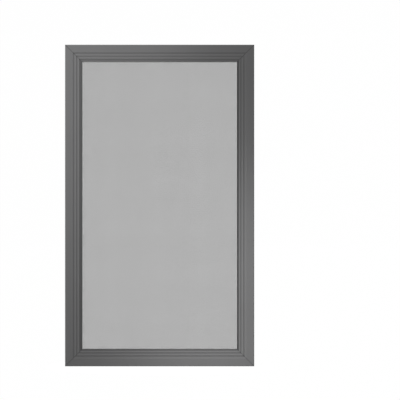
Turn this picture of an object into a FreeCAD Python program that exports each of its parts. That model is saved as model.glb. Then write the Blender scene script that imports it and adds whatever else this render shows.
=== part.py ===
"""Framed insect screen for a window, in millimetres.

Four rails of one aluminium section are mitred and joined by corner keys. A spline cord holds the mesh
in a groove on the back, and a pile seal sits in a T slot behind the outer land.
X is to the right, Z is up, and the front faces -Y. The origin is the middle of the bottom edge.
A rail's own axes are: X from its outer edge towards the opening, Y from back to front, Z along it.
"""

import FreeCAD, Part
import os
import Sketcher
from FreeCAD import Placement, Rotation, Vector

SIZES = {
    # the whole frame
    "frame_width": 450,
    "frame_height": 765,
    "frame_depth": 16,
    "mitre_gap": 0.02,
    # the section's walls and its moulded front
    "wall": 1.4,
    "face_skin": 1.6,
    "arris_radius": 2,
    "land_width": 18.8,
    "flute_width": 7.3,
    "flute_depth": 1.4,
    "sight_drop": 0.8,
    "sight_lip": 0.4,
    # the spline groove
    "groove_width": 5.6,
    "groove_depth": 5.6,
    "grip_height": 0.4,
    "grip_length": 1.2,
    # the pile seal and its slot
    "pile_backing_width": 6.9,
    "pile_backing_height": 1.1,
    "pile_width": 3.6,
    "pile_reach": 2.4,
    "slot_lip": 1.2,
    "seal_clearance": 0.15,
    # the mesh
    "mesh_thickness": 0.6,
    "mesh_columns": 7,
    "mesh_rows": 12,
    "strip_share": 0.34,
    "thread_pitch": 1.6,
    "thread_relief": 0.15,
    # the spline
    "spline_ribs": 10,
    "spline_rib_height": 0.25,
    "spline_clearance": 0.05,
    # the corner keys
    "key_leg": 62,
    "key_barb_pitch": 9,
    "key_barb_length": 7.2,
    "key_barb_height": 0.7,
    "key_barb_count": 4,
    "key_clearance": 0.15,
    "key_lead_in": 3,
}

# Lengths that several pieces share, measured on the section
FLUTES = 3
FACE = f"(Sizes.land_width + {FLUTES} * Sizes.flute_width + Sizes.sight_lip)"
GROOVE_TOP = "(Sizes.frame_depth - Sizes.flute_depth - Sizes.face_skin)"
MESH_LEVEL = f"({GROOVE_TOP} - Sizes.groove_depth)"
GROOVE_END = "(Sizes.land_width + Sizes.groove_width)"
GROOVE_MIDDLE = "(Sizes.land_width + Sizes.groove_width / 2)"
SLOT_MIDDLE = "(Sizes.land_width / 2)"
SLOT_HALF = "(Sizes.pile_backing_width / 2 + Sizes.seal_clearance)"
MOUTH_HALF = "(Sizes.pile_width / 2 + Sizes.seal_clearance)"
SLOT_TOP = "(Sizes.slot_lip + Sizes.pile_backing_height + 2 * Sizes.seal_clearance)"
KEY_FLOOR = f"({SLOT_TOP} + Sizes.wall)"
HEM_START = "(Sizes.land_width + Sizes.grip_height)"
HEM_END = f"({GROOVE_END} - Sizes.grip_height)"
SPLINE_RADIUS = (
    "(Sizes.groove_width / 2 - Sizes.grip_height - Sizes.mesh_thickness - Sizes.spline_clearance)"
)

# How each side of the frame lies: the axes that its own X, Y and Z follow, and its length
TO_RIGHT, TO_LEFT, UP, DOWN = Vector(1, 0, 0), Vector(-1, 0, 0), Vector(0, 0, 1), Vector(0, 0, -1)
FRONT = Vector(0, -1, 0)
SIDES = {
    "left": (TO_RIGHT, "-Sizes.frame_width / 2", "Sizes.frame_height / 2", "Sizes.frame_height"),
    "right": (TO_LEFT, "Sizes.frame_width / 2", "Sizes.frame_height / 2", "Sizes.frame_height"),
    "bottom": (UP, "0", "0", "Sizes.frame_width"),
    "top": (DOWN, "0", "Sizes.frame_height", "Sizes.frame_width"),
}
UPRIGHT = ("left", "right")

doc = FreeCAD.newDocument("window_screen")
sheet = doc.addObject("Spreadsheet::Sheet", "Sizes")
for row, (alias, value) in enumerate(SIZES.items(), start=1):
    sheet.set(f"A{row}", alias)
    sheet.set(f"B{row}", str(value))
    sheet.setAlias(f"B{row}", alias)
doc.recompute()


def value_of(expression):
    """The number that an expression on the sheet stands for."""
    return float(sheet.evalExpression(expression.replace("Sizes.", "")))


def new_body(label):
    body = doc.addObject("PartDesign::Body", label)
    body.Label = label
    return body


def origin_feature(body, role):
    """One of the body's own origin planes or axes."""
    return next(feature for feature in body.Origin.OriginFeatures if feature.Role == role)


def new_sketch(body, name, plane):
    """A sketch on one of the body's own origin planes."""
    sketch = body.newObject("Sketcher::SketchObject", f"{body.Name}_{name}")
    sketch.AttachmentSupport = (origin_feature(body, plane), [""])
    sketch.MapMode = "FlatFace"
    return sketch


def bind(sketch, constraint, expression):
    """Adds a dimension to a sketch and ties it to the sheet."""
    index = sketch.addConstraint(constraint)
    sketch.setExpression(f"Constraints[{index}]", expression)


def place_point(sketch, geometry, end, across, along):
    """Ties one point of a sketch to two expressions from its origin."""
    for kind, axis, expression in (("DistanceX", -2, across), ("DistanceY", -1, along)):
        if expression == "0":
            sketch.addConstraint(Sketcher.Constraint("PointOnObject", geometry, end, axis))
        else:
            number = value_of(expression)
            bind(sketch, Sketcher.Constraint(kind, -1, 1, geometry, end, number), expression)


def arc_between(start, end, sag):
    """The arc from start to end that stands off its chord by sag, to the left when that is positive."""
    chord = end - start
    left = Vector(-chord.y, chord.x, 0).normalize()
    return Part.Arc(start, (start + end) / 2 + left * sag, end)


def draw_loop(sketch, corners):
    """Draws a closed outline.

    Each corner is (across, along) for a straight side to the next corner, or
    (across, along, side, radius, sag) for an arc, with side 1 to its left and -1 to its right.
    """
    points = [Vector(value_of(corner[0]), value_of(corner[1]), 0) for corner in corners]
    ends = []
    for corner, start, end in zip(corners, points, points[1:] + points[:1]):
        if len(corner) == 2:
            geometry = sketch.addGeometry(Part.LineSegment(start, end))
        else:
            side, sag = corner[2], value_of(corner[4])
            geometry = sketch.addGeometry(arc_between(start, end, side * sag))
        first, second = ((sketch.getPoint(geometry, end) - start).Length for end in (1, 2))
        ends.append((geometry, 1, 2) if first < second else (geometry, 2, 1))
    for before, here in zip(ends[-1:] + ends[:-1], ends):
        sketch.addConstraint(Sketcher.Constraint("Coincident", before[0], before[2], here[0], here[1]))
    for corner, (geometry, first, _) in zip(corners, ends):
        place_point(sketch, geometry, first, corner[0], corner[1])
        if len(corner) > 2:
            bind(sketch, Sketcher.Constraint("Radius", geometry, value_of(corner[3])), corner[3])


def arc_side(side, run, drop, sag):
    """What draw_loop needs for an arc over a run and a drop, from how far it stands off its chord."""
    radius = f"(({run})^2 + ({drop})^2) / (8 * {sag}) + {sag} / 2"
    return (side, radius, sag)


def pad(body, sketch, length, symmetric=False):
    feature = body.newObject("PartDesign::Pad", f"{sketch.Name}_pad")
    feature.Profile = sketch
    feature.SideType = "Symmetric" if symmetric else "One side"
    feature.setExpression("Length", length)
    return feature


def cut_through(body, sketch):
    """Cuts a sketch through the whole body, both ways."""
    feature = body.newObject("PartDesign::Pocket", f"{sketch.Name}_cut")
    feature.Profile = sketch
    feature.SideType = "Symmetric"
    feature.Type = "ThroughAll"
    return feature


def place(body, across, back, up, rotation):
    """Sets where a body stands in the frame."""
    body.Placement = Placement(Vector(), rotation)
    for axis, expression in (("x", across), ("y", back), ("z", up)):
        body.setExpression(f"Placement.Base.{axis}", expression)


def place_on_side(body, side, inset="0", level="0"):
    """Lays a body out in the axes of one side's rail, this far in from its edge and up from its back."""
    inward, across, up, _ = SIDES[side]
    rotation = Rotation(inward, FRONT, inward.cross(FRONT), "XYZ")
    place(
        body,
        f"{across} + {inward.x:g} * {inset}",
        f"Sizes.frame_depth / 2 - ({level})",
        f"{up} + {inward.z:g} * {inset}",
        rotation,
    )


def ridge_drop(index):
    """How far a ridge lies below the land: only the last one, the sight edge, does."""
    return "Sizes.sight_drop" if index == FLUTES else "0"


def ridge(index):
    """Where a flute ends on the section: 0 is the land's edge, and the last is the sight edge."""
    across = f"(Sizes.land_width + {index} * Sizes.flute_width)"
    return (across, f"(Sizes.frame_depth - {ridge_drop(index)})")


def flute(index):
    """What draw_loop needs for a hollow from one ridge back to the one before it."""
    return ridge(index) + arc_side(1, "Sizes.flute_width", ridge_drop(index), "Sizes.flute_depth")


def draw_section(sketch):
    """The extrusion's section: moulded front, spline groove, seal slot and two hollow chambers."""
    depth, land, wall = "Sizes.frame_depth", "Sizes.land_width", "Sizes.wall"
    lip, radius = "Sizes.slot_lip", "Sizes.arris_radius"
    slot_low, slot_high = f"{SLOT_MIDDLE} - {SLOT_HALF}", f"{SLOT_MIDDLE} + {SLOT_HALF}"
    mouth_low, mouth_high = f"{SLOT_MIDDLE} - {MOUTH_HALF}", f"{SLOT_MIDDLE} + {MOUTH_HALF}"
    grip_tip = f"{MESH_LEVEL} + Sizes.grip_length / 2"
    grip_end = f"{MESH_LEVEL} + Sizes.grip_length"
    arris = (-1, radius, f"{radius} * (1 - sqrt(0.5))")
    seal_slot = [
        (mouth_low, "0"),
        (mouth_low, lip),
        (slot_low, lip),
        (slot_low, SLOT_TOP),
        (slot_high, SLOT_TOP),
        (slot_high, lip),
        (mouth_high, lip),
        (mouth_high, "0"),
    ]
    groove = [
        (land, MESH_LEVEL),
        (HEM_START, grip_tip),
        (land, grip_end),
        (land, GROOVE_TOP),
        (GROOVE_END, GROOVE_TOP),
        (GROOVE_END, grip_end),
        (HEM_END, grip_tip),
        (GROOVE_END, MESH_LEVEL),
    ]
    front = [(FACE, MESH_LEVEL), (FACE, ridge(FLUTES)[1])]
    front += [flute(index) for index in range(FLUTES, 0, -1)]
    front += [
        (land, depth),
        (radius, depth) + arris,
        ("0", f"{depth} - {radius}"),
    ]
    draw_loop(sketch, [("0", "0")] + seal_slot + [(land, "0")] + groove + front)
    housing_low, housing_high = f"{slot_low} - {wall}", f"{slot_high} + {wall}"
    draw_loop(
        sketch,
        [
            (wall, wall),
            (housing_low, wall),
            (housing_low, KEY_FLOOR),
            (housing_high, KEY_FLOOR),
            (housing_high, wall),
            (f"{land} - {wall}", wall),
            (f"{land} - {wall}", f"{depth} - {wall}"),
            (wall, f"{depth} - {wall}"),
        ],
    )
    draw_loop(
        sketch,
        [
            (f"{GROOVE_END} + {wall}", f"{MESH_LEVEL} + {wall}"),
            (f"{FACE} - {wall}", f"{MESH_LEVEL} + {wall}"),
            (f"{FACE} - {wall}", f"{GROOVE_TOP} - Sizes.sight_drop / 2"),
            (f"{GROOVE_END} + {wall}", GROOVE_TOP),
        ],
    )


def build_rail(side):
    """One length of the section, mitred at both ends."""
    body = new_body(f"{side}_stile" if side in UPRIGHT else f"{side}_rail")
    length = SIDES[side][3]
    section = new_sketch(body, "section", "XY_Plane")
    draw_section(section)
    pad(body, section, length, symmetric=True)
    mitre = new_sketch(body, "mitre", "XZ_Plane")
    tip = f"{length} / 2 - Sizes.mitre_gap * sqrt(0.5)"
    for end in ("", "-"):
        draw_loop(
            mitre,
            [
                ("0", f"{end}({tip})"),
                (FACE, f"{end}({tip} - {FACE})"),
                (FACE, f"{end}({tip} + {FACE})"),
                ("0", f"{end}({tip} + {FACE})"),
            ],
        )
    cut_through(body, mitre)
    place_on_side(body, side)
    return body


def build_spline(side):
    """A ribbed cord pressed into the groove; the upright ones run through the corners."""
    body = new_body(f"spline_{side}")
    side_of_cord = f"({GROOVE_MIDDLE} + {SPLINE_RADIUS} + Sizes.spline_clearance)"
    end_of_groove = f"({HEM_START} + Sizes.mesh_thickness + Sizes.spline_clearance)"
    length = f"{SIDES[side][3]} - 2 * {end_of_groove if side in UPRIGHT else side_of_cord}"
    core, rib = f"({SPLINE_RADIUS} - Sizes.spline_rib_height)", "Sizes.spline_rib_height"
    section = new_sketch(body, "section", "XY_Plane")
    circle = section.addGeometry(Part.Circle(Vector(), Vector(0, 0, 1), value_of(core)))
    section.addConstraint(Sketcher.Constraint("Coincident", circle, 3, -1, 1))
    bind(section, Sketcher.Constraint("Radius", circle, value_of(core)), core)
    pad(body, section, length, symmetric=True)
    rib_section = new_sketch(body, "rib", "XY_Plane")
    draw_loop(rib_section, [(f"-{rib}", f"{core} - {rib}"), (rib, f"{core} - {rib}"), ("0", SPLINE_RADIUS)])
    pattern = body.newObject("PartDesign::PolarPattern", f"{body.Name}_ribs")
    pattern.Originals = [pad(body, rib_section, length, symmetric=True)]
    pattern.Axis = (origin_feature(body, "Z_Axis"), [""])
    pattern.Angle = 360
    pattern.setExpression("Occurrences", "Sizes.spline_ribs")
    body.Tip = pattern
    level = f"{GROOVE_TOP} - Sizes.mesh_thickness - Sizes.spline_clearance - {SPLINE_RADIUS}"
    place_on_side(body, side, GROOVE_MIDDLE, level)
    return body


def build_pile_seal(side):
    """A backing strip in the T slot with the pile standing out behind it."""
    body = new_body(f"pile_seal_{side}")
    beside_upright = f"({SLOT_MIDDLE} + Sizes.pile_backing_width / 2 + Sizes.seal_clearance)"
    end_of_mouth = f"({SLOT_MIDDLE} - Sizes.pile_width / 2)"
    margin = end_of_mouth if side in UPRIGHT else beside_upright
    back_half, pile_half = "Sizes.pile_backing_width / 2", "Sizes.pile_width / 2"
    low = "Sizes.slot_lip + Sizes.seal_clearance"
    high = f"{low} + Sizes.pile_backing_height"
    section = new_sketch(body, "section", "XY_Plane")
    draw_loop(
        section,
        [
            (f"{SLOT_MIDDLE} - {pile_half}", "-Sizes.pile_reach"),
            (f"{SLOT_MIDDLE} + {pile_half}", "-Sizes.pile_reach"),
            (f"{SLOT_MIDDLE} + {pile_half}", low),
            (f"{SLOT_MIDDLE} + {back_half}", low),
            (f"{SLOT_MIDDLE} + {back_half}", high),
            (f"{SLOT_MIDDLE} - {back_half}", high),
            (f"{SLOT_MIDDLE} - {back_half}", low),
            (f"{SLOT_MIDDLE} - {pile_half}", low),
        ],
    )
    pad(body, section, f"{SIDES[side][3]} - 2 * {margin}", symmetric=True)
    place_on_side(body, side)
    return body


def build_corner_key(name, turn, across, up):
    """An angle with barbed legs that fills the key chambers on both sides of a mitre."""
    body = new_body(f"corner_key_{name}")
    leg, barb, lead = "Sizes.key_leg", "Sizes.key_barb_height", "Sizes.key_lead_in"
    outer = "(Sizes.wall + Sizes.key_clearance)"
    inner = "(Sizes.land_width - Sizes.wall - Sizes.key_clearance)"
    low, high = f"({outer} + {barb})", f"({inner} - {barb})"
    angle = new_sketch(body, "angle", "XZ_Plane")
    draw_loop(
        angle,
        [
            (f"{low} + {lead}", low),
            (f"{leg} - {lead}", low),
            (leg, f"{low} + {lead}"),
            (leg, f"{high} - {lead}"),
            (f"{leg} - {lead}", high),
            (high, high),
            (high, f"{leg} - {lead}"),
            (f"{high} - {lead}", leg),
            (f"{low} + {lead}", leg),
            (low, f"{leg} - {lead}"),
            (low, f"{low} + {lead}"),
        ],
    )
    floor = f"{KEY_FLOOR} + Sizes.key_clearance"
    thickness = f"Sizes.frame_depth - Sizes.wall - {KEY_FLOOR} - 2 * Sizes.key_clearance"
    angle.setExpression("AttachmentOffset.Base.z", floor)
    pad(body, angle, thickness)
    body.Tip = build_barbs(body, low, high, floor, thickness)
    place(body, across, "Sizes.frame_depth / 2", up, Rotation(Vector(0, 1, 0), turn))
    return body


def build_barbs(body, low, high, floor, thickness):
    """Barbs that lean back from the tip, on both edges of both legs."""
    pitch, barb = "Sizes.key_barb_pitch", "Sizes.key_barb_height"
    start = "(Sizes.land_width + Sizes.key_clearance)"
    tip = None
    for along_rail in (True, False):
        teeth = new_sketch(body, "rail_barb" if along_rail else "stile_barb", "XZ_Plane")
        for edge, peak in ((low, f"{low} - {barb}"), (high, f"{high} + {barb}")):
            tooth = [(start, edge), (f"{start} + Sizes.key_barb_length", edge), (start, peak)]
            draw_loop(teeth, tooth if along_rail else [corner[::-1] for corner in tooth])
        teeth.setExpression("AttachmentOffset.Base.z", floor)
        first = pad(body, teeth, thickness)
        tip = body.newObject("PartDesign::LinearPattern", f"{teeth.Name}s")
        tip.Originals = [first]
        tip.Direction = (teeth, ["H_Axis" if along_rail else "V_Axis"])
        tip.setExpression("Length", f"{pitch} * (Sizes.key_barb_count - 1)")
        tip.setExpression("Occurrences", "Sizes.key_barb_count")
        body.Tip = tip
    return tip


def strip(low, high, length):
    """A strip of parallel threads: a flat back, a row of ridges on its front, and this length."""
    pitch, relief = value_of("Sizes.thread_pitch"), value_of("Sizes.thread_relief")
    top = value_of("Sizes.mesh_thickness") / 2
    count = max(1, round((high - low) / pitch))
    step = (high - low) / count
    row = [Vector(low, 0, 0)]
    for index in range(count):
        row.append(Vector(low + index * step, top - relief, 0))
        row.append(Vector(low + (index + 0.5) * step, top, 0))
    row.append(Vector(high, top - relief, 0))
    row.append(Vector(high, 0, 0))
    block = Part.Face(Part.makePolygon(row + row[:1])).extrude(Vector(0, 0, length))
    block.translate(Vector(0, 0, -length / 2))
    return block


def layer(width, opening, gaps, length):
    """One way of the weave: strips of threads over a width, with this many gaps in the opening."""
    pitch = opening / gaps
    half = value_of("Sizes.strip_share") * pitch / 2
    edges = [-width / 2]
    for index in range(gaps):
        start = index * pitch - opening / 2
        edges += [start + half, start + pitch - half]
    edges.append(width / 2)
    return [strip(low, high, length) for low, high in zip(edges[::2], edges[1::2])]


def ring(outer, inner, thickness):
    """A flat rectangular ring round the frame's middle, from two distances to the outer edge."""
    blocks = []
    for margin in (outer, inner):
        width = value_of("Sizes.frame_width") - 2 * margin
        height = value_of("Sizes.frame_height") - 2 * margin
        blocks.append(Part.makeBox(width, thickness, height, Vector(-width / 2, 0, -height / 2)))
    return blocks[0].cut(blocks[1])


def build_mesh():
    """The woven sheet: upright strips of threads in front, level ones behind, and a hem in the groove."""
    thick, face = value_of("Sizes.mesh_thickness"), value_of(FACE)
    hem_start, hem_end = value_of(HEM_START), value_of(HEM_END)
    groove_top, level = value_of(GROOVE_TOP), value_of(MESH_LEVEL)
    frame_width, frame_height = value_of("Sizes.frame_width"), value_of("Sizes.frame_height")
    width, height = frame_width - 2 * hem_end, frame_height - 2 * hem_end
    columns, rows = int(value_of("Sizes.mesh_columns")), int(value_of("Sizes.mesh_rows"))
    warp = layer(width, frame_width - 2 * face, columns, height)
    weft = layer(height, frame_height - 2 * face, rows, width)
    for block in warp:
        block.rotate(Vector(), Vector(1, 0, 0), 180)
    for block in weft:
        block.rotate(Vector(), Vector(0, 1, 0), 90)
    hem_depth = groove_top - level
    hem = [
        ring(hem_end - thick, hem_end, hem_depth + thick),
        ring(hem_start + thick, hem_end - thick, thick),
        ring(hem_start, hem_start + thick, hem_depth),
    ]
    for block in hem:
        block.translate(Vector(0, -hem_depth - thick / 2, 0))
    mesh = doc.addObject("Part::Feature", "insect_mesh")
    mesh.Label = "insect_mesh"
    mesh.Shape = warp[0].multiFuse(warp[1:] + weft + hem).removeSplitter()
    middle = value_of("Sizes.frame_depth") / 2 - level + thick / 2
    mesh.Placement = Placement(Vector(0, middle, frame_height / 2), Rotation())
    return mesh


def build_all():
    nodes = [build_rail(side) for side in SIDES]
    left, right = "-Sizes.frame_width / 2", "Sizes.frame_width / 2"
    corners = {
        "bottom_left": (0, left, "0"),
        "bottom_right": (-90, right, "0"),
        "top_right": (180, right, "Sizes.frame_height"),
        "top_left": (90, left, "Sizes.frame_height"),
    }
    nodes += [build_corner_key(name, *corner) for name, corner in corners.items()]
    nodes += [build_spline(side) for side in SIDES]
    nodes += [build_pile_seal(side) for side in SIDES]
    nodes.append(build_mesh())
    return nodes


def check(nodes):
    """Stops before anything is written if a feature failed or a solid isn't sound."""
    for item in doc.Objects:
        if "Invalid" in item.State or "Error" in item.State:
            raise RuntimeError(f"{item.Label} failed: {item.State}")
    for node in nodes:
        if node.Shape.isNull() or not node.Shape.isValid() or len(node.Shape.Solids) != 1:
            raise RuntimeError(f"{node.Label} isn't one sound solid")


parts = build_all()
doc.recompute()
check(parts)
os.makedirs("parts", exist_ok=True)
for part in parts:
    part.Shape.exportStep(os.path.join("parts", f"{part.Label}.step"))
    print(part.Label, round(part.Shape.Volume / 1000, 2), "cm3")
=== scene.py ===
"""A framed insect screen for a window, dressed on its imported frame.

Each operator makes one piece, or one group of like pieces, and another sets the stage.
Lengths are in metres. X is to the right, Z is up, and the front faces -Y.
"""

import math
import random

import bpy
from bpy.props import FloatProperty, FloatVectorProperty, IntProperty, PointerProperty
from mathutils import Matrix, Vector


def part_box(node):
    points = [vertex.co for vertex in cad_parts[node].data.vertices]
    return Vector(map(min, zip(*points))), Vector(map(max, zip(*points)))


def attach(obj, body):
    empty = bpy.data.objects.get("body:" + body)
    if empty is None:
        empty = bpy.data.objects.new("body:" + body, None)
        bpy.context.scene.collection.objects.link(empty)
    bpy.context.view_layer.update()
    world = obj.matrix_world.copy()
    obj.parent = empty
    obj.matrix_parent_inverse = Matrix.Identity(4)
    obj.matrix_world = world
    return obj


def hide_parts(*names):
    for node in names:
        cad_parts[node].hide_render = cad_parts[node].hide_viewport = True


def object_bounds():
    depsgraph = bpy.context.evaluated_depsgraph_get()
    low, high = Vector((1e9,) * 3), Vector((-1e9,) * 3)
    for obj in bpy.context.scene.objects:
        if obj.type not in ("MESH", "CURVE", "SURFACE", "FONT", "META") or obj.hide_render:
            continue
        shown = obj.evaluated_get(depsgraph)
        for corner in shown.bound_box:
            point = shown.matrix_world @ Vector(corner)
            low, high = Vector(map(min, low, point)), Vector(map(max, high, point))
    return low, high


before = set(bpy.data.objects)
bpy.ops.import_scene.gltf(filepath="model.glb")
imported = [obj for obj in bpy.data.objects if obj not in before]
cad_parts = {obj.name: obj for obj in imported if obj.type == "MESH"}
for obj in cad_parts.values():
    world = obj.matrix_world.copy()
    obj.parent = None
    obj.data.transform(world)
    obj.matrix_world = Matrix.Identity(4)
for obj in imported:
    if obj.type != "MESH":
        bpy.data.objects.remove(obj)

bl_info = {
    "name": "Window Insect Screen",
    "version": (1, 0, 0),
    "blender": (4, 5, 0),
    "location": "View3D > Sidebar > Insect Screen",
    "description": "Weaves the cloth, plants the pile and finishes the frame of a window's insect screen",
    "category": "Object",
}

CAD_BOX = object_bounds()
BODY = "root"
RAILS = ("left_stile", "right_stile", "bottom_rail", "top_rail")
KEYS = tuple(f"corner_key_{corner}" for corner in ("bottom_left", "bottom_right", "top_right", "top_left"))
SIDES = ("left", "right", "bottom", "top")
UPRIGHT = ("left", "right")


def box(node):
    """A node's lowest and highest corner, as vectors."""
    low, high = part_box(node)
    return Vector(low), Vector(high)


FRAME_WIDTH = CAD_BOX[1][0] - CAD_BOX[0][0]
FRAME_HEIGHT = CAD_BOX[1][2] - CAD_BOX[0][2]
FRAME_MIDDLE = FRAME_HEIGHT / 2
FRAME_FRONT = CAD_BOX[0][1]


class CoatSettings(bpy.types.PropertyGroup):
    """The powder coat on the rails."""

    colour: FloatVectorProperty(
        name="Colour", description="Grey of the coat",
        subtype="COLOR", size=3, default=(0.138, 0.138, 0.139),
    )
    roughness: FloatProperty(
        name="Roughness", description="How far the satin coat blurs a reflection",
        subtype="FACTOR", default=0.42,
    )
    peel_size: FloatProperty(
        name="Peel size", description="Size of the ripples in the coat",
        unit="LENGTH", default=0.0011,
    )
    peel_height: FloatProperty(
        name="Peel height", description="Height of the ripples in the coat",
        unit="LENGTH", default=0.00002,
    )
    joint_width: FloatProperty(
        name="Joint width", description="Width of the dark line along each mitre",
        unit="LENGTH", default=0.001,
    )
    # Painted shade: the darker band round the opening stands in for shade along the sight edge
    painted_shade_width: FloatProperty(
        name="Sight width", description="Width of the darker band round the opening",
        unit="LENGTH", default=0.0058,
    )


class ClothSettings(bpy.types.PropertyGroup):
    """The woven cloth in the opening."""

    thread_width: FloatProperty(
        name="Thread width", description="Width of one coated thread",
        unit="LENGTH", default=0.0006,
    )
    thread_pitch: FloatProperty(
        name="Thread pitch", description="From one thread to the next",
        unit="LENGTH", default=0.0016,
    )
    thickness: FloatProperty(
        name="Thickness", description="Thickness of the cloth and its hem",
        unit="LENGTH", default=0.0006,
    )
    colour: FloatVectorProperty(
        name="Colour", description="Charcoal of the threads",
        subtype="COLOR", size=3, default=(0.02, 0.02, 0.021),
    )


class PileSettings(bpy.types.PropertyGroup):
    """The brush seal behind the outer land."""

    backing_height: FloatProperty(
        name="Backing height", description="Thickness of the backing strip",
        unit="LENGTH", default=0.0011,
    )
    width: FloatProperty(
        name="Pile width", description="Width of the pile",
        unit="LENGTH", default=0.0036,
    )
    rows: IntProperty(
        name="Rows", description="Rows of tufts across the pile",
        default=5, min=1,
    )
    tuft_pitch: FloatProperty(
        name="Tuft pitch", description="From one tuft to the next along the strip",
        unit="LENGTH", default=0.0008,
    )
    colour: FloatVectorProperty(
        name="Colour", description="Grey of the fibres",
        subtype="COLOR", size=3, default=(0.075, 0.075, 0.08),
    )


class PlasticSettings(bpy.types.PropertyGroup):
    """The moulded keys and the vinyl spline."""

    key_colour: FloatVectorProperty(
        name="Key colour", description="Colour of the nylon keys",
        subtype="COLOR", size=3, default=(0.03, 0.03, 0.032),
    )
    spline_colour: FloatVectorProperty(
        name="Spline colour", description="Colour of the vinyl cord",
        subtype="COLOR", size=3, default=(0.02, 0.02, 0.022),
    )


class StageSettings(bpy.types.PropertyGroup):
    """The floor, the light and the camera."""

    surround: FloatProperty(
        name="Surround", description="Brightness of the soft surround",
        default=0.55,
    )
    tilt: FloatProperty(
        name="Tilt", description="How much brighter the surround is towards the upper left",
        default=0.35,
    )
    paper: FloatProperty(
        name="Paper", description="Brightness of the white floor and backdrop",
        default=1.0,
    )
    floor_radius: FloatProperty(
        name="Floor radius", description="Reach of the floor",
        unit="LENGTH", default=0.27,
    )
    dome_radius: FloatProperty(
        name="Dome radius", description="Reach of the white backdrop",
        unit="LENGTH", default=14.0,
    )
    lamp_power: FloatProperty(
        name="Lamp power", description="Power of each lamp",
        unit="POWER", default=76.0,
    )
    lamp_distance: FloatProperty(
        name="Lamp distance", description="From a lamp to the corner that it lights",
        unit="LENGTH", default=1.6,
    )
    lamp_radius: FloatProperty(
        name="Lamp radius", description="Size of each lamp, which softens its shadows",
        unit="LENGTH", default=0.12,
    )
    lamp_cone: FloatProperty(
        name="Lamp cone", description="Angle of a lamp's cone",
        subtype="ANGLE", default=math.radians(28.0),
    )
    lens: FloatProperty(
        name="Lens", description="Focal length in millimetres",
        default=200.0,
    )
    view_width: FloatProperty(
        name="View width", description="Width of the view at the frame's front",
        unit="LENGTH", default=0.9512,
    )
    view_across: FloatProperty(
        name="View across", description="Middle of the view, to the right of the frame's",
        unit="LENGTH", default=0.096,
    )
    view_up: FloatProperty(
        name="View up", description="Height of the middle of the view",
        unit="LENGTH", default=0.3956,
    )


class ScreenSettings(bpy.types.PropertyGroup):
    """All settings of the insect screen."""

    coat: PointerProperty(type=CoatSettings)
    cloth: PointerProperty(type=ClothSettings)
    pile: PointerProperty(type=PileSettings)
    plastic: PointerProperty(type=PlasticSettings)
    stage: PointerProperty(type=StageSettings)


class Term:
    """A value in a material, on which arithmetic adds Math nodes."""

    def __init__(self, finish, socket):
        self.finish = finish
        self.socket = socket

    def math(self, operation, *values):
        return self.finish.node("ShaderNodeMath", {"operation": operation}, dict(enumerate(values)))

    def __add__(self, other):
        return self.math("ADD", self, other)

    def __sub__(self, other):
        return self.math("SUBTRACT", self, other)

    def __rsub__(self, other):
        return self.math("SUBTRACT", other, self)

    def __mul__(self, other):
        return self.math("MULTIPLY", self, other)

    __radd__ = __add__
    __rmul__ = __mul__

    def cosine(self):
        return self.math("COSINE", self)

    def size(self):
        return self.math("ABSOLUTE", self)

    def least(self, other):
        return self.math("MINIMUM", self, other)

    def ramp(self, start, end):
        """Nought up to start, one from end, and smooth between."""
        inputs = {"Value": self, "From Min": start, "From Max": end}
        return self.finish.node("ShaderNodeMapRange", {"interpolation_type": "SMOOTHSTEP"}, inputs)


class Nodes:
    """A node tree while it is laid out."""

    def __init__(self, owner):
        owner.use_nodes = True
        self.tree = owner.node_tree
        self.tree.nodes.clear()

    def node(self, kind, settings=None, inputs=None, output=0):
        """Adds a node: first its settings, then the values or links of its sockets."""
        made = self.tree.nodes.new(kind)
        for name, value in (settings or {}).items():
            setattr(made, name, value)
        for key, value in (inputs or {}).items():
            if isinstance(value, Term):
                self.tree.links.new(value.socket, made.inputs[key])
            else:
                made.inputs[key].default_value = value
        return Term(self, made.outputs[output]) if made.outputs else None

    def axes(self, vector):
        """The three coordinates of a place or a direction."""
        split = self.node("ShaderNodeSeparateXYZ", inputs={"Vector": vector})
        return [Term(self, socket) for socket in split.socket.node.outputs]


class Finish(Nodes):
    """A material, with patterns laid out on the piece's own place."""

    # Places of the colours among the sockets of a Mix node
    first_colour = 6
    second_colour = 7
    mixed_colour = 2

    def __init__(self, name):
        self.material = bpy.data.materials.new(name)
        super().__init__(self.material)
        self.position = self.node("ShaderNodeTexCoord", output="Object")

    def noise(self, size, detail=2.0, stretch=(1.0, 1.0, 1.0)):
        """Cloudy grain of about this size, drawn out along the axes with a small stretch."""
        place = self.node("ShaderNodeMapping", inputs={"Vector": self.position, "Scale": stretch})
        inputs = {"Vector": place, "Scale": 1.0 / size, "Detail": detail}
        return self.node("ShaderNodeTexNoise", inputs=inputs, output="Fac")

    def blend(self, factor, first, second):
        """A colour between two others."""
        inputs = {"Factor": factor, self.first_colour: first, self.second_colour: second}
        return self.node("ShaderNodeMix", {"data_type": "RGBA"}, inputs, self.mixed_colour)

    def bump(self, height, distance):
        return self.node("ShaderNodeBump", inputs={"Height": height, "Distance": distance, "Strength": 1.0})

    def surface(self, **inputs):
        """Ends the material with a shader that takes these values."""
        sockets = {}
        for name, value in inputs.items():
            sockets[name.replace("_", " ").title().replace("Ior", "IOR")] = value
        shader = self.node("ShaderNodeBsdfPrincipled", inputs=sockets)
        self.node("ShaderNodeOutputMaterial", inputs={"Surface": shader})
        return self.material


def tint(colour, share):
    """A colour made lighter or darker, with its alpha."""
    return tuple(share * part for part in colour) + (1.0,)


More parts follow.
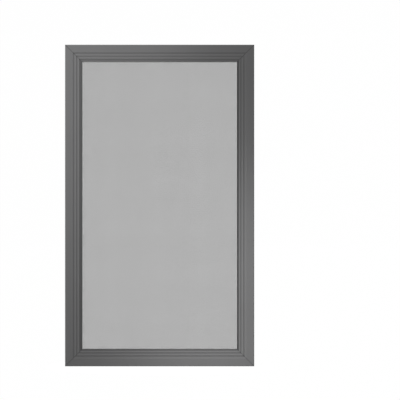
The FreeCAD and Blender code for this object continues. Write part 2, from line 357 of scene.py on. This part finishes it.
def powder_coat(settings):
    """Satin powder coat: faint clouds, fine ripples, dark mitre lines and a darker band of painted shade
    along the sight edge.
    """
    coat = Finish("powder_coat")
    across, depth, up = coat.axes(coat.position)
    to_side = FRAME_WIDTH / 2 - across.size()
    to_end = FRAME_MIDDLE - (up - FRAME_MIDDLE).size()
    from_mitre = (to_side - to_end).size() * math.sqrt(0.5)
    clear_of_joint = from_mitre.ramp(0.25 * settings.joint_width, settings.joint_width)
    # Painted shade: the darker band round the opening stands in for shade along the sight edge; it keeps to
    # the front, and is fainter on the level rails
    low, high = box("left_stile")
    face = high.x - low.x
    inset = to_side.least(to_end)
    sight = inset.ramp(face - settings.painted_shade_width, face - 0.7 * settings.painted_shade_width)
    front = 1 - depth.ramp(FRAME_FRONT + 0.003, FRAME_FRONT + 0.004)
    on_stile = (to_end - to_side).ramp(-0.0005, 0.0005)
    band = sight * front * (0.4 + 0.6 * on_stile)
    dark = tint(settings.colour, 0.5)
    cloud = coat.noise(size=0.09)
    speck = coat.noise(size=0.0004, detail=1.0)
    ripple = coat.noise(settings.peel_size)
    wear = coat.noise(size=0.02)
    shade = coat.blend(0.7 * cloud + 0.3 * speck, tint(settings.colour, 0.93), tint(settings.colour, 1.07))
    jointed = coat.blend(clear_of_joint, dark, shade)
    return coat.surface(
        # The colour darkens into painted shade along the sight edge
        base_color=coat.blend(band, jointed, dark),
        roughness=settings.roughness - 0.05 + 0.1 * wear,
        normal=coat.bump(ripple, settings.peel_height),
    )


def moulded_nylon(settings):
    """Matt nylon with cloudy flow marks and a fine spark texture."""
    nylon = Finish("moulded_nylon")
    flow = nylon.noise(size=0.012, stretch=(1.0, 0.3, 1.0))
    spark = nylon.noise(size=0.0005)
    return nylon.surface(
        base_color=nylon.blend(flow, tint(settings.key_colour, 0.8), tint(settings.key_colour, 1.25)),
        roughness=0.5 + 0.15 * spark,
        normal=nylon.bump(spark, distance=0.00003),
    )


def soft_vinyl(settings):
    """Dull vinyl with a bloom on it and fine marks."""
    vinyl = Finish("soft_vinyl")
    colour = settings.spline_colour
    bloom = vinyl.noise(size=0.006)
    marks = vinyl.noise(size=0.0006)
    return vinyl.surface(
        base_color=vinyl.blend(bloom, tint(colour, 0.75), tint(colour, 1.4)),
        roughness=0.5 + 0.2 * bloom,
        normal=vinyl.bump(marks, distance=0.00002),
    )


def coated_thread(settings):
    """Vinyl-coated thread that rises over one crossing and dips under the next."""
    thread = Finish("coated_thread")
    across, _, up = thread.axes(thread.position)
    turn = math.pi / settings.thread_pitch
    over = (turn * across).cosine() * (turn * (up - FRAME_MIDDLE)).cosine()
    weft = thread.node("ShaderNodeAttribute", {"attribute_name": "weft"}, output="Fac")
    rise = over * (1 - 2 * weft)
    streak = thread.noise(size=0.004)
    return thread.surface(
        base_color=thread.blend(streak, tint(settings.colour, 0.7), tint(settings.colour, 1.3)),
        roughness=0.5 + 0.1 * rise,
        normal=thread.bump(rise, distance=0.00008),
    )


def brush_fibre(settings, back):
    """Fibres with painted shade that makes them darker towards the root, with a backing strip of the same
    yarn.
    """
    fibre = Finish("brush_fibre")
    _, depth, _ = fibre.axes(fibre.position)
    root = back - 0.004
    # Painted shade in the pile: the fibres darken from their tips down to the roots
    painted_shade_to_tip = depth.ramp(root, back)
    tuft = fibre.noise(size=0.0009, detail=1.0)
    strand = fibre.noise(size=0.00018, detail=1.0, stretch=(1.0, 0.1, 1.0))
    lightness = 0.5 * painted_shade_to_tip + 0.5 * tuft
    return fibre.surface(
        base_color=fibre.blend(lightness, tint(settings.colour, 0.45), tint(settings.colour, 1.35)),
        roughness=0.75 + 0.2 * strand,
        normal=fibre.bump(strand, distance=0.00005),
    )


def select_only(*pieces):
    """Leaves only these pieces selected, with the first one active."""
    bpy.ops.object.select_all(action="DESELECT")
    for piece in pieces:
        piece.select_set(True)
    bpy.context.view_layer.objects.active = pieces[0]


def coat_node(node, material):
    """Gives one of the frame's own pieces its finish."""
    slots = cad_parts[node].material_slots
    if not slots:
        raise RuntimeError(f"{node} has no material slot")
    for slot in slots:
        slot.material = material


def finish_piece(piece, name, material, node):
    """Names a new piece, coats it, and lets it stand for a node of the frame."""
    piece.name = name
    piece.data.name = name
    piece.data.materials.clear()
    piece.data.materials.append(material)
    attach(piece, BODY)
    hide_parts(node)


def draw_thread(points, width, weft, closed=False):
    """One six-sided thread along straight runs, marked as warp or weft."""
    curve = bpy.data.curves.new("thread", "CURVE")
    curve.dimensions = "3D"
    curve.bevel_depth = width / 2
    curve.bevel_resolution = 1
    curve.use_fill_caps = not closed
    run = curve.splines.new("POLY")
    run.points.add(len(points) - 1)
    for point, place in zip(run.points, points):
        point.co = (*place, 1.0)
    run.use_cyclic_u = closed
    thread = bpy.data.objects.new("thread", curve)
    bpy.context.collection.objects.link(thread)
    select_only(thread)
    bpy.ops.object.convert(target="MESH")
    mark = thread.data.attributes.new("weft", "FLOAT", "POINT")
    mark.data.foreach_set("value", [float(weft)] * len(thread.data.vertices))
    return thread


def repeat(piece, count, step):
    """Copies a piece in a row."""
    select_only(piece)
    array = piece.modifiers.new("row", "ARRAY")
    array.use_relative_offset = False
    array.use_constant_offset = True
    array.constant_offset_displace = step
    array.count = count
    bpy.ops.object.modifier_apply(modifier=array.name)


def join(pieces):
    """Makes one piece of several."""
    select_only(*pieces)
    bpy.ops.object.join()
    return pieces[0]


class Hem:
    """Where the cloth turns into the groove, on a section from the sheet to its cut edge.

    The sheet bends in at one inset from the frame's side, and its edge comes up again at another.
    The depths are those of the sheet, of the groove's floor and of the cut edge at the mouth.
    """

    def __init__(self, settings):
        low, high = box("insect_mesh")
        cord_low, cord_high = box("spline_left")
        half = settings.thickness / 2
        self.edge = FRAME_WIDTH / 2 - high.x + half
        self.bend = cord_low.x + cord_high.x + FRAME_WIDTH - self.edge
        self.sheet = high.y - half
        self.floor = low.y + half
        self.mouth = high.y - settings.thickness

    def run(self, half_length, layer):
        """A thread's run as (along, depth), from one cut edge to the other."""
        edge, bend = half_length - self.edge, half_length - self.bend
        half = [(bend, self.sheet + layer), (bend, self.floor), (edge, self.floor), (edge, self.mouth)]
        return [(-along, depth) for along, depth in reversed(half)] + half

    def rings(self, pitch):
        """Where threads run along the groove, as (inset, depth)."""
        corners = [
            Vector((self.bend, self.sheet)),
            Vector((self.bend, self.floor)),
            Vector((self.edge, self.floor)),
            Vector((self.edge, self.mouth)),
        ]
        to_next = pitch / 2
        for start, end in zip(corners, corners[1:]):
            length = (end - start).length
            while to_next < length:
                yield start.lerp(end, to_next / length)
                to_next += pitch
            to_next -= length

    def cut_size(self):
        """The cloth's width and length before it was pressed into the groove."""
        turned = 2 * (2 * (self.sheet - self.floor) + self.bend - self.edge)
        flat = 2 * self.bend
        return FRAME_WIDTH - flat + turned, FRAME_HEIGHT - flat + turned


class SCREEN_OT_coat_rails(bpy.types.Operator):
    """Gives the four rails their satin powder coat"""

    bl_idname = "screen.coat_rails"
    bl_label = "Coat Rails"

    def execute(self, context):
        material = powder_coat(context.scene.insect_screen.coat)
        for rail in RAILS:
            coat_node(rail, material)
        return {"FINISHED"}


class SCREEN_OT_finish_keys(bpy.types.Operator):
    """Gives the corner keys their moulded nylon"""

    bl_idname = "screen.finish_keys"
    bl_label = "Finish Corner Keys"

    def execute(self, context):
        material = moulded_nylon(context.scene.insect_screen.plastic)
        for key in KEYS:
            coat_node(key, material)
        return {"FINISHED"}


class SCREEN_OT_finish_splines(bpy.types.Operator):
    """Gives the spline cords their soft vinyl"""

    bl_idname = "screen.finish_splines"
    bl_label = "Finish Splines"

    def execute(self, context):
        material = soft_vinyl(context.scene.insect_screen.plastic)
        for side in SIDES:
            coat_node(f"spline_{side}", material)
        return {"FINISHED"}


class SCREEN_OT_weave_cloth(bpy.types.Operator):
    """Weaves the cloth thread by thread and presses its hem into the groove"""

    bl_idname = "screen.weave_cloth"
    bl_label = "Weave Cloth"

    def execute(self, context):
        settings = context.scene.insect_screen.cloth
        hem = Hem(settings)
        width, pitch = settings.thread_width, settings.thread_pitch
        # A six-sided thread is thinner from flat to flat than from corner to corner
        thread_depth = width * math.sqrt(0.75)
        layer = (settings.thickness - thread_depth) / 2
        across = int((FRAME_WIDTH / 2 - hem.bend) / pitch)
        up = int((FRAME_HEIGHT / 2 - hem.bend) / pitch)
        warp_run = hem.run(FRAME_HEIGHT / 2, -layer)
        warp = draw_thread([(-across * pitch, y, FRAME_MIDDLE + z) for z, y in warp_run], width, weft=False)
        repeat(warp, 2 * across + 1, (pitch, 0, 0))
        weft_run = hem.run(FRAME_WIDTH / 2, layer)
        weft = draw_thread([(x, y, FRAME_MIDDLE - up * pitch) for x, y in weft_run], width, weft=True)
        repeat(weft, 2 * up + 1, (0, 0, pitch))
        rings = [self.ring(place, width) for place in hem.rings(pitch)]
        cloth = join([warp, weft] + rings)
        finish_piece(cloth, "woven_cloth", coated_thread(settings), "insect_mesh")
        hem.cut_size()
        return {"FINISHED"}

    def ring(self, place, width):
        """A thread that runs round the frame in the groove."""
        inset, depth = place
        across, up = FRAME_WIDTH / 2 - inset, FRAME_HEIGHT / 2 - inset
        corners = [(-across, -up), (across, -up), (across, up), (-across, up)]
        points = [(x, depth, FRAME_MIDDLE + z) for x, z in corners]
        return draw_thread(points, width, weft=False, closed=True)


class SCREEN_OT_plant_pile(bpy.types.Operator):
    """Plants the tufts of the brush seal on its backing strip"""

    bl_idname = "screen.plant_pile"
    bl_label = "Plant Pile"

    # Tufts along the patch that is copied
    tile = 10
    # How far a tuft's top may lean, and its width as a share of the root's
    lean = 0.00022
    taper = 0.7
    # Length of the shortest tufts, as a share of the longest
    shortest = 0.94

    def execute(self, context):
        settings = context.scene.insect_screen.pile
        material = brush_fibre(settings, CAD_BOX[1][1])
        for side in SIDES:
            node = f"pile_seal_{side}"
            low, high = box(node)
            backing = self.backing(low, high, settings)
            tufts = self.tufts(low, high, settings, side in UPRIGHT)
            finish_piece(join([backing, tufts]), f"brush_seal_{side}", material, node)
        return {"FINISHED"}

    def backing(self, low, high, settings):
        """The woven strip in the slot, with rounded edges."""
        size = high - low
        size.y = settings.backing_height
        middle = (low + high) / 2
        middle.y = low.y + size.y / 2
        bpy.ops.object.select_all(action="DESELECT")
        bpy.ops.mesh.primitive_cube_add(size=1.0, location=middle)
        strip = bpy.context.object
        strip.scale = size
        bpy.ops.object.transform_apply(location=True, rotation=True, scale=True)
        bpy.ops.object.mode_set(mode="EDIT")
        bpy.ops.mesh.select_all(action="SELECT")
        bpy.ops.mesh.bevel(offset=0.3 * size.y, segments=2, affect="EDGES")
        bpy.ops.object.mode_set(mode="OBJECT")
        return strip

    def tufts(self, low, high, settings, upright):
        """A patch of tufts with its own leans and lengths, copied along the strip."""
        along = 2 if upright else 0
        aside = 0 if upright else 2
        length = high[along] - low[along]
        count = round(length / (self.tile * settings.tuft_pitch))
        pitch = length / count / self.tile
        spread = settings.width / settings.rows
        middle = (low[aside] + high[aside]) / 2
        root = low.y + settings.backing_height
        draw = random.Random(7)
        patch = []
        for row in range(settings.rows):
            for index in range(self.tile):
                place = Vector()
                place[along] = low[along] + (index + 0.5) * pitch
                place[aside] = middle + (row + 0.5) * spread - settings.width / 2
                place.y = root
                shift = Vector()
                shift[along] = draw.uniform(-1, 1) * self.lean
                shift[aside] = draw.uniform(-1, 1) * self.lean * 0.5
                shift.y = (high.y - root) * draw.uniform(self.shortest, 1.0)
                patch.append(self.tuft(place, shift, 0.5 * min(pitch, spread)))
        piece = join(patch)
        step = Vector()
        step[along] = pitch * self.tile
        repeat(piece, count, step)
        return piece

    def tuft(self, place, shift, radius):
        """A five-sided tuft whose top is drawn aside and narrower than its root."""
        bpy.ops.object.select_all(action="DESELECT")
        bpy.ops.mesh.primitive_circle_add(
            vertices=5, radius=radius, fill_type="NGON", location=place, rotation=(math.pi / 2, 0, 0)
        )
        tuft = bpy.context.object
        bpy.ops.object.transform_apply(location=True, rotation=True, scale=True)
        bpy.ops.object.mode_set(mode="EDIT")
        bpy.ops.mesh.select_all(action="SELECT")
        bpy.ops.mesh.extrude_region_move(TRANSFORM_OT_translate={"value": shift})
        bpy.ops.transform.resize(value=(self.taper, 1.0, self.taper), center_override=place + shift)
        bpy.ops.mesh.select_all(action="SELECT")
        bpy.ops.mesh.normals_make_consistent(inside=False)
        bpy.ops.object.mode_set(mode="OBJECT")
        return tuft


class SCREEN_OT_set_stage(bpy.types.Operator):
    """Lays the white floor and backdrop, and sets the soft light and the camera"""

    bl_idname = "screen.set_stage"
    bl_label = "Set Stage"

    white = (1.0, 1.0, 1.0, 1.0)
    # How much of the light the floor and the backdrop take, and about how bright it makes white paper
    floor_share = 0.12
    dome_share = 0.06
    paper_light = 0.6
    # The way to the lamps, and how far their cones are stretched
    to_lamps = (-0.42, -0.76, 0.48)
    cone_stretch = (0.8, 1.5, 1.0)
    # Where each lamp points, as shares of the frame's width and height
    lamp_targets = {"upper_left_lamp": (-0.36, 0.86), "lower_right_lamp": (0.44, 0.02)}

    def execute(self, context):
        settings = context.scene.insect_screen.stage
        self.lay_paper(settings)
        self.hang_surround(context.scene, settings)
        self.hang_lamps(settings)
        self.set_camera(context.scene, settings)
        return {"FINISHED"}

    def lay_paper(self, settings):
        """A white floor and a white dome round it that light passes. The frame reflects neither."""
        bpy.ops.object.select_all(action="DESELECT")
        bpy.ops.mesh.primitive_circle_add(vertices=96, radius=settings.floor_radius, fill_type="NGON")
        floor = bpy.context.object
        floor.name = "floor"
        bpy.ops.object.select_all(action="DESELECT")
        bpy.ops.mesh.primitive_uv_sphere_add(segments=48, ring_count=24, radius=settings.dome_radius)
        dome = bpy.context.object
        dome.name = "backdrop"
        dome.visible_shadow = False
        for sheet, share in ((floor, self.floor_share), (dome, self.dome_share)):
            sheet.visible_diffuse = False
            sheet.visible_glossy = False
            sheet.data.materials.append(self.white_paper(f"{sheet.name}_paper", settings.paper, share))

    def white_paper(self, name, brightness, share):
        """Paper that glows, and takes only a share of the light, so that shadows on it are faint."""
        paper = Finish(name)
        return paper.surface(
            base_color=(share, share, share, 1.0),
            roughness=1.0,
            specular_ior_level=0.0,
            emission_color=self.white,
            emission_strength=brightness - self.paper_light * share,
        )

    def hang_surround(self, scene, settings):
        """Soft light from all round, brightest from the upper left."""
        world = bpy.data.worlds.new("soft_surround")
        sky = Nodes(world)
        across, _, up = sky.axes(sky.node("ShaderNodeTexCoord", output="Generated"))
        strength = settings.surround + settings.tilt * math.sqrt(0.5) * (up - across)
        light = sky.node("ShaderNodeBackground", inputs={"Color": self.white, "Strength": strength})
        sky.node("ShaderNodeOutputWorld", inputs={"Surface": light})
        scene.world = world
        scene.view_settings.view_transform = "Standard"
        scene.view_settings.look = "None"

    def hang_lamps(self, settings):
        """Two soft lamps that shine from the upper left, on the upper left and the lower right corner."""
        away = Vector(self.to_lamps).normalized()
        for name, (across, up) in self.lamp_targets.items():
            target = Vector((across * FRAME_WIDTH, FRAME_FRONT, up * FRAME_HEIGHT))
            bpy.ops.object.light_add(type="SPOT", location=target + settings.lamp_distance * away)
            lamp = bpy.context.object
            lamp.name = name
            lamp.data.energy = settings.lamp_power
            lamp.data.spot_size = settings.lamp_cone
            lamp.data.spot_blend = 1.0
            lamp.data.shadow_soft_size = settings.lamp_radius
            lamp.rotation_euler = (-away).to_track_quat("-Z", "Y").to_euler()
            lamp.scale = self.cone_stretch
            lamp.visible_camera = False
            lamp.visible_glossy = False

    def set_camera(self, scene, settings):
        """A camera far off and square to the frame's front."""
        data = bpy.data.cameras.new("front_camera")
        data.lens = settings.lens
        camera = bpy.data.objects.new("front_camera", data)
        scene.collection.objects.link(camera)
        distance = settings.view_width * data.lens / data.sensor_width
        camera.location = (settings.view_across, FRAME_FRONT - distance, settings.view_up)
        camera.rotation_euler = (math.pi / 2, 0.0, 0.0)
        data.clip_end = 100.0
        scene.camera = camera


class SCREEN_PT_insect_screen(bpy.types.Panel):
    """Settings and steps of the insect screen"""

    bl_label = "Insect Screen"
    bl_idname = "SCREEN_PT_insect_screen"
    bl_space_type = "VIEW_3D"
    bl_region_type = "UI"
    bl_category = "Insect Screen"

    def draw(self, context):
        for group, steps in PANEL_ROWS:
            section = self.layout.box()
            settings = getattr(context.scene.insect_screen, group)
            for name in settings.__annotations__:
                section.prop(settings, name)
            for step in steps:
                section.operator(step.bl_idname)


PANEL_ROWS = (
    ("coat", (SCREEN_OT_coat_rails,)),
    ("plastic", (SCREEN_OT_finish_keys, SCREEN_OT_finish_splines)),
    ("cloth", (SCREEN_OT_weave_cloth,)),
    ("pile", (SCREEN_OT_plant_pile,)),
    ("stage", (SCREEN_OT_set_stage,)),
)
CLASSES = (
    CoatSettings,
    ClothSettings,
    PileSettings,
    PlasticSettings,
    StageSettings,
    ScreenSettings,
    SCREEN_OT_coat_rails,
    SCREEN_OT_finish_keys,
    SCREEN_OT_finish_splines,
    SCREEN_OT_weave_cloth,
    SCREEN_OT_plant_pile,
    SCREEN_OT_set_stage,
    SCREEN_PT_insect_screen,
)


def register():
    for item in CLASSES:
        bpy.utils.register_class(item)
    bpy.types.Scene.insect_screen = PointerProperty(type=ScreenSettings)


def unregister():
    del bpy.types.Scene.insect_screen
    for item in reversed(CLASSES):
        bpy.utils.unregister_class(item)


def main():
    register()
    bpy.ops.screen.coat_rails()
    bpy.ops.screen.finish_keys()
    bpy.ops.screen.finish_splines()
    bpy.ops.screen.weave_cloth()
    bpy.ops.screen.plant_pile()
    bpy.ops.screen.set_stage()


if __name__ == "__main__":
    main()
